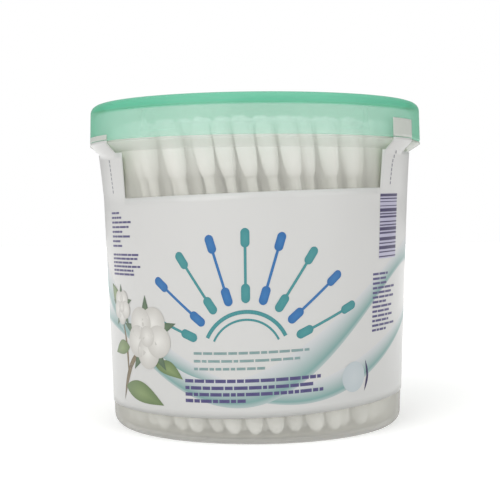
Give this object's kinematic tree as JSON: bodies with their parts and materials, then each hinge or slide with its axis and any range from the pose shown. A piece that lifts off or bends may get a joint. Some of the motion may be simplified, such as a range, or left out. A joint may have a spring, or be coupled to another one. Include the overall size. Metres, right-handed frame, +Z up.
{
  "type": "cotton swab tub",
  "caption": "Round clear tapered tub filled with double-ended cotton swabs, with a push-on green lid, a wrapped film label and two seal tabs.",
  "frame": {"origin": "middle of the base plane that the tub stands on", "axes": "+Z up through the lid, along the axis of the tub; the front of the label faces -Y and its right side is +X"},
  "size_m": [0.084, 0.084, 0.0804],
  "materials": {
    "clear_plastic": "gloss",
    "green_plastic": "gloss",
    "printed_film": "satin",
    "stick_paper": "matte",
    "cotton": "matte"
  },
  "bodies": {
    "tub": {"tub": "clear_plastic", "label": "printed_film", "cotton_row_01": "cotton", "cotton_row_02": "cotton", "cotton_row_03": "cotton", "cotton_row_04": "cotton", "cotton_row_05": "cotton", "cotton_row_06": "cotton", "cotton_row_07": "cotton", "cotton_row_08": "cotton", "cotton_row_09": "cotton", "cotton_row_10": "cotton", "cotton_row_11": "cotton", "cotton_row_12": "cotton", "cotton_row_13": "cotton", "cotton_row_14": "cotton", "cotton_row_15": "cotton", "sticks_row_01": "stick_paper", "sticks_row_02": "stick_paper", "sticks_row_03": "stick_paper", "sticks_row_04": "stick_paper", "sticks_row_05": "stick_paper", "sticks_row_06": "stick_paper", "sticks_row_07": "stick_paper", "sticks_row_08": "stick_paper", "sticks_row_09": "stick_paper", "sticks_row_10": "stick_paper", "sticks_row_11": "stick_paper", "sticks_row_12": "stick_paper", "sticks_row_13": "stick_paper", "sticks_row_14": "stick_paper", "sticks_row_15": "stick_paper"},
    "lid": {"lid": "green_plastic", "seal_tab_left": "printed_film", "seal_tab_right": "printed_film"}
  },
  "joints": [
    {"name": "lid_lift", "type": "slide", "parent": "tub", "child": "lid", "axis": [0, 0, 1], "range_m": [0, 0.04]}
  ]
}
